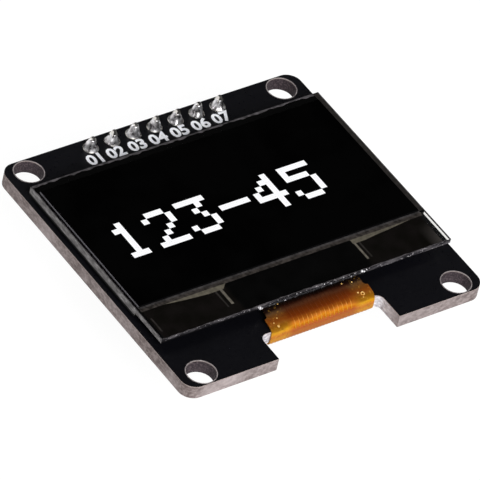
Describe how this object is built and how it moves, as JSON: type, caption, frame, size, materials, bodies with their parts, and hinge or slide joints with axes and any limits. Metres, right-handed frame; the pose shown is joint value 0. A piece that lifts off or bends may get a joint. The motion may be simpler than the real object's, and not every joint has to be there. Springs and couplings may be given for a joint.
{
  "type": "graphic oled display module",
  "caption": "Small graphic display module: black carrier board with corner holes, thin glass panel, folded amber ribbon through an edge notch, and a pin header.",
  "frame": {"origin": "centre of the four mounting holes, on the carrier board's back face", "axes": "+Z out of the display's face, along the mounting holes; +X along the pin header; +Y towards the header edge"},
  "size_m": [0.0354, 0.0336, 0.0115],
  "materials": {
    "solder_mask": "satin",
    "foam_tape": "matte",
    "cap_glass": "polished",
    "panel_glass": "polished",
    "polarizer_film": "gloss",
    "silicon": "polished",
    "polyimide": "gloss",
    "solder": "bright",
    "header_plastic": "matte",
    "plated_pin": "plated, bright",
    "moulding_compound": "matte",
    "tinned_lead": "bright",
    "capacitor_ceramic": "matte",
    "resistor_ceramic": "satin"
  },
  "bodies": {
    "root": {"pcb": "solder_mask", "adhesive_tape": "foam_tape", "cap_glass": "cap_glass", "substrate_glass": "panel_glass", "polarizer": "polarizer_film", "driver_chip": "silicon", "display_ribbon": "polyimide", "ribbon_solder": "solder", "header_strip": "header_plastic", "regulator_case": "moulding_compound", "regulator_leads": "tinned_lead", "header_pin_1": "plated_pin", "header_pin_2": "plated_pin", "header_pin_3": "plated_pin", "header_pin_4": "plated_pin", "header_pin_5": "plated_pin", "header_pin_6": "plated_pin", "header_pin_7": "plated_pin", "solder_joint_1": "solder", "solder_joint_2": "solder", "solder_joint_3": "solder", "solder_joint_4": "solder", "solder_joint_5": "solder", "solder_joint_6": "solder", "solder_joint_7": "solder", "capacitor_1": "capacitor_ceramic", "capacitor_2": "capacitor_ceramic", "capacitor_3": "capacitor_ceramic", "capacitor_4": "capacitor_ceramic", "capacitor_5": "capacitor_ceramic", "capacitor_6": "capacitor_ceramic", "capacitor_7": "capacitor_ceramic", "capacitor_8": "capacitor_ceramic", "resistor_1": "resistor_ceramic", "resistor_2": "resistor_ceramic", "resistor_3": "resistor_ceramic", "resistor_4": "resistor_ceramic", "resistor_5": "resistor_ceramic", "resistor_6": "resistor_ceramic", "resistor_7": "resistor_ceramic", "resistor_8": "resistor_ceramic"}
  },
  "joints": []
}
